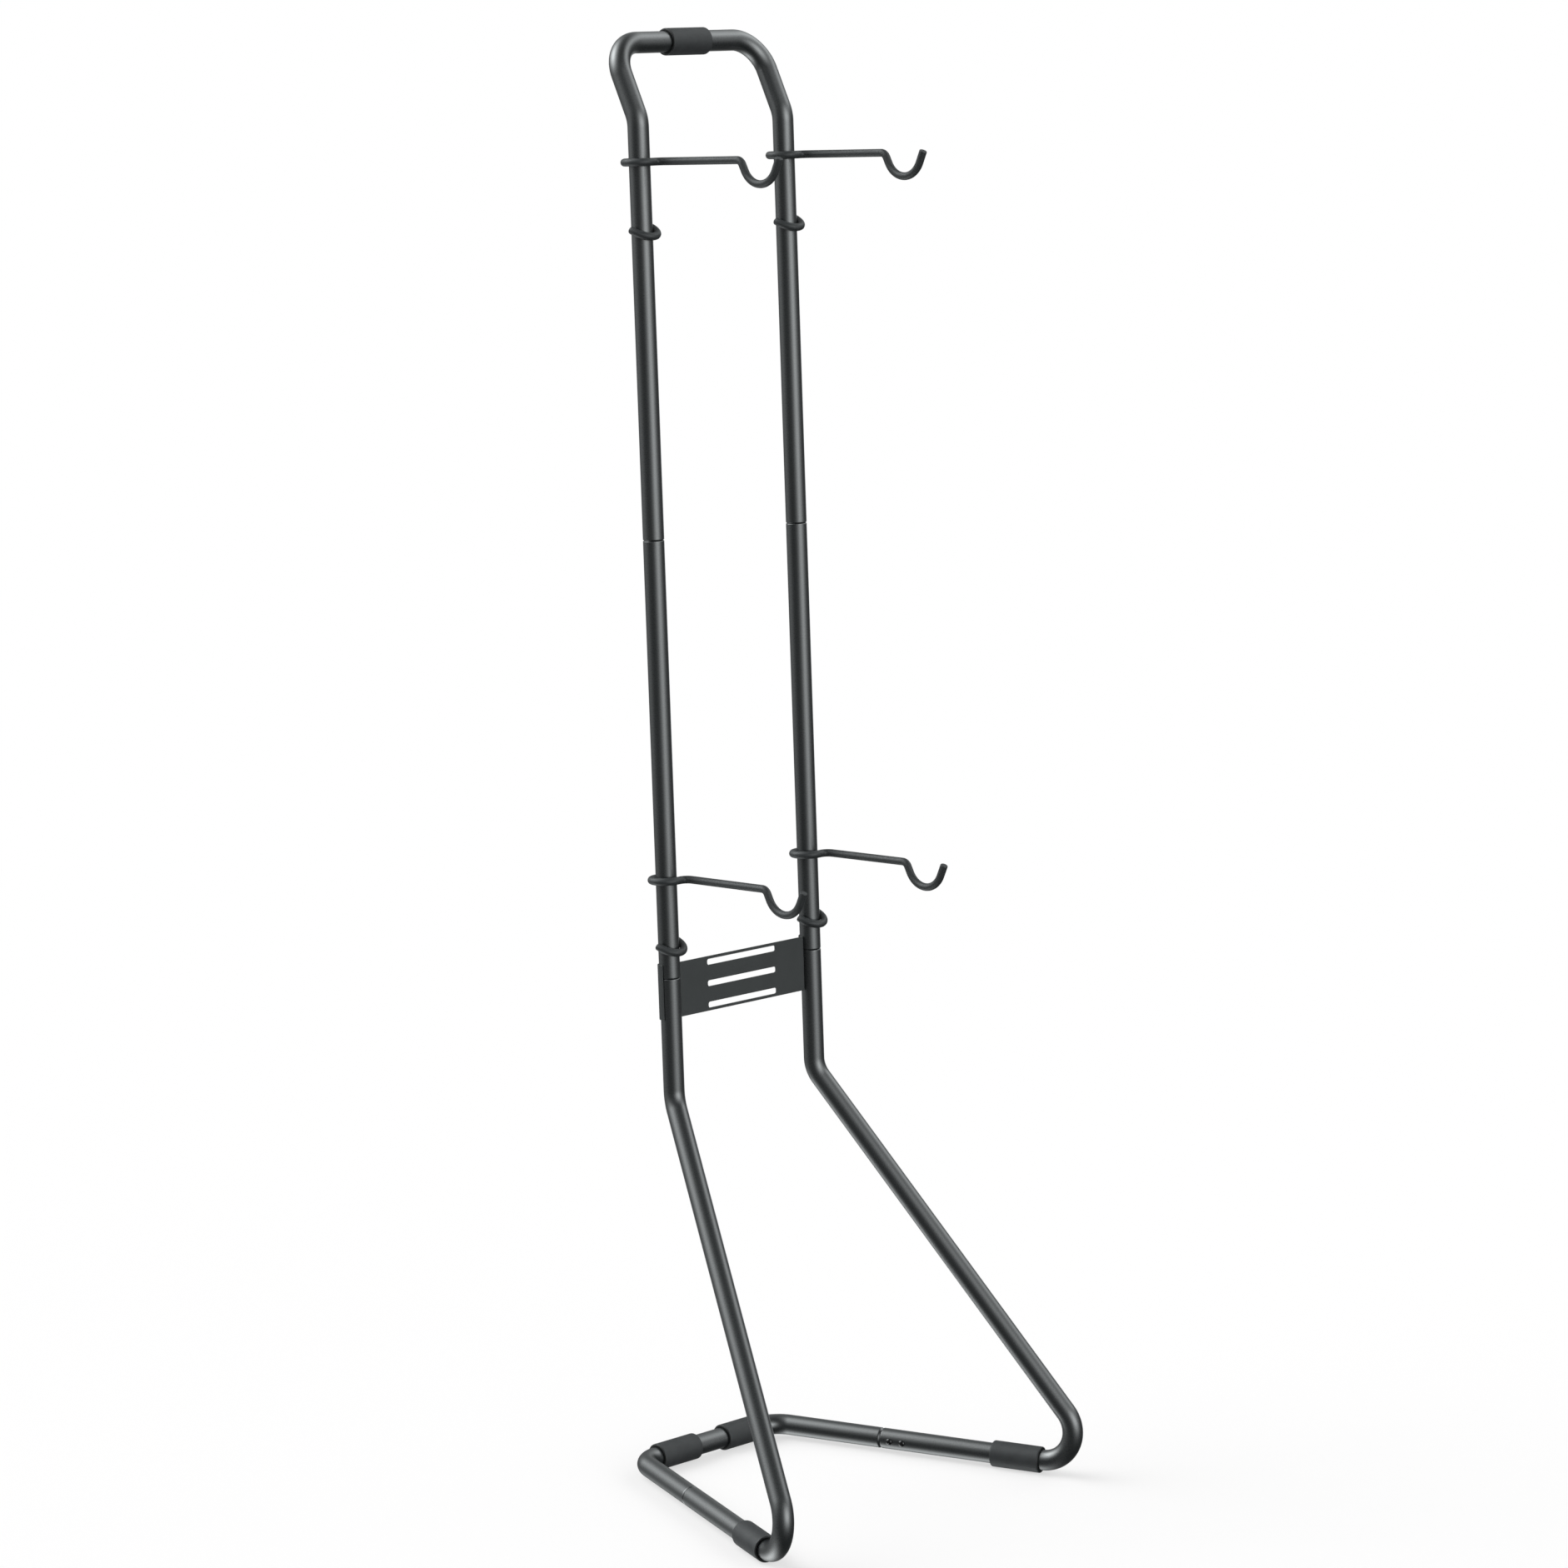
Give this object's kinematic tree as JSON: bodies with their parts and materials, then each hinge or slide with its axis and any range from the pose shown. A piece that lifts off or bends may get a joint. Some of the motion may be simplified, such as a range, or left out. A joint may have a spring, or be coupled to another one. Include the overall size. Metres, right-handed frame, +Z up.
{
  "type": "bicycle storage tower",
  "caption": "Tall wall-leaning bicycle storage tower: bent tube frame with a splayed base, slotted brace plate, sliding rod hooks that twist round the poles, and foam sleeves.",
  "frame": {"origin": "middle of the stand's bounding box, on the floor", "axes": "+Z up, +Y towards the wall that the stand leans on, +X to the right seen from the front"},
  "size_m": [0.6244, 0.5262, 2.0772],
  "materials": {
    "powder_coat": "satin black powder coat",
    "plate_coat": "satin black powder coat on sheet",
    "rod_coating": "soft satin plastic dip coating on steel rod",
    "rubber_foam": "matte charcoal rubber foam",
    "black_screw": "black zinc",
    "zinc_nut": "bright zinc"
  },
  "bodies": {
    "frame": {"top_arch": "powder_coat", "base_rear_bar": "powder_coat", "brace_plate": "plate_coat", "wall_sleeve": "rubber_foam", "pole_middle_left": "powder_coat", "leg_left": "powder_coat", "rear_sleeve_left": "rubber_foam", "foot_sleeve_left": "rubber_foam", "side_joint_screw_left_1": "black_screw", "side_joint_nut_left_1": "zinc_nut", "side_joint_screw_left_2": "black_screw", "side_joint_nut_left_2": "zinc_nut", "pole_joint_screw_left_1": "black_screw", "pole_joint_nut_left_1": "zinc_nut", "pole_joint_screw_left_2": "black_screw", "pole_joint_nut_left_2": "zinc_nut", "plate_screw_left_1": "black_screw", "plate_nut_left_1": "zinc_nut", "plate_screw_left_2": "black_screw", "plate_nut_left_2": "zinc_nut", "pole_middle_right": "powder_coat", "leg_right": "powder_coat", "rear_sleeve_right": "rubber_foam", "foot_sleeve_right": "rubber_foam", "side_joint_screw_right_1": "black_screw", "side_joint_nut_right_1": "zinc_nut", "side_joint_screw_right_2": "black_screw", "side_joint_nut_right_2": "zinc_nut", "pole_joint_screw_right_1": "black_screw", "pole_joint_nut_right_1": "zinc_nut", "pole_joint_screw_right_2": "black_screw", "pole_joint_nut_right_2": "zinc_nut", "plate_screw_right_1": "black_screw", "plate_nut_right_1": "zinc_nut", "plate_screw_right_2": "black_screw", "plate_nut_right_2": "zinc_nut"},
    "upper_hook_left": {"upper_hook_left": "rod_coating"},
    "lower_hook_left": {"lower_hook_left": "rod_coating"},
    "upper_hook_right": {"upper_hook_right": "rod_coating"},
    "lower_hook_right": {"lower_hook_right": "rod_coating"}
  },
  "joints": [
    {"name": "upper_hook_left_slide", "type": "slide", "parent": "frame", "child": "upper_hook_left", "axis": [0, 0.0472, 0.9989], "range_m": [-0.45, 0.035]},
    {"name": "lower_hook_left_slide", "type": "slide", "parent": "frame", "child": "lower_hook_left", "axis": [0, 0.0472, 0.9989], "range_m": [-0.008, 0.4]},
    {"name": "upper_hook_right_slide", "type": "slide", "parent": "frame", "child": "upper_hook_right", "axis": [0, 0.0472, 0.9989], "range_m": [-0.45, 0.035]},
    {"name": "lower_hook_right_slide", "type": "slide", "parent": "frame", "child": "lower_hook_right", "axis": [0, 0.0472, 0.9989], "range_m": [-0.008, 0.4]}
  ]
}
